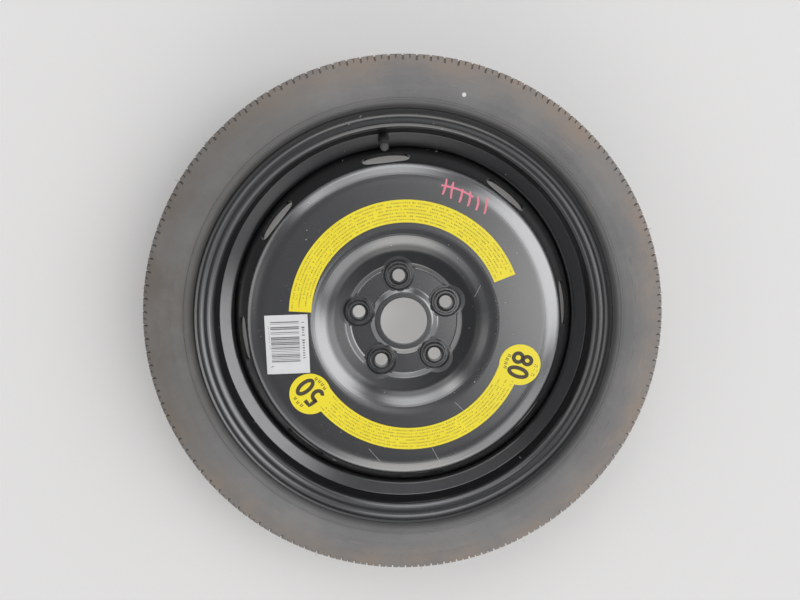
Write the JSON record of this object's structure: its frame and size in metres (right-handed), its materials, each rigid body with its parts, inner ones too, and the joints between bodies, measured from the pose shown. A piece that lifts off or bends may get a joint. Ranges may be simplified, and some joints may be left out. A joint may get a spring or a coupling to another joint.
{
  "type": "space saver spare wheel",
  "caption": "Narrow temporary spare wheel: slim tyre on a welded black steel rim and domed disc with oval vents, a snap-in valve and yellow band labels.",
  "frame": {"origin": "centre of the wheel, on the rim's middle plane and on the wheel's axis", "axes": "+Z along the wheel's axis towards the street side, +Y towards the valve, the wheel lying flat on its inboard sidewall"},
  "size_m": [0.63, 0.63, 0.125],
  "materials": {
    "tyre": "dusty moulded rubber",
    "black_paint": "gloss black paint",
    "black_rubber": "satin",
    "brass": "satin",
    "red_seal": "satin",
    "spring_steel": "bright",
    "black_plastic": "satin",
    "yellow_label": "smooth printed film",
    "white_label": "matt paper"
  },
  "bodies": {
    "wheel": {"tyre": "tyre", "rim": "black_paint", "wheel_disc": "black_paint", "disc_welds": "black_paint", "valve_body": "black_rubber", "valve_stem": "brass", "core_plug": "brass", "core_barrel": "brass", "core_gasket": "red_seal", "core_spring": "spring_steel", "speed_label_upper": "yellow_label", "speed_label_lower": "yellow_label", "stock_label": "white_label"},
    "core": {"core_pin": "brass", "core_cup": "brass", "core_seal": "black_rubber"},
    "cap_seal_carrier": {"cap_seal": "black_rubber"},
    "cap": {"valve_cap": "black_plastic"}
  },
  "joints": [
    {"name": "core_press", "type": "slide", "parent": "wheel", "child": "core", "axis": [0, 0.4086, -0.9127], "range_m": [0, 0.0015], "stiffness_N_per_m": 800, "springref_m": -0.003, "deforming": ["core_spring"]},
    {"name": "cap_lift", "type": "slide", "parent": "wheel", "child": "cap_seal_carrier", "axis": [0, -0.4086, 0.9127], "range_m": [0, 0.00953]},
    {"name": "cap_turn", "type": "hinge", "parent": "cap_seal_carrier", "child": "cap", "pos_m": [0, 0.20854, 0.04486], "axis": [0, -0.4086, 0.9127], "range_deg": [0, 4325]}
  ],
  "couplings": [
    {"joint": "cap_turn", "follows": "cap_lift", "rad_per_m": 7913.3}
  ]
}
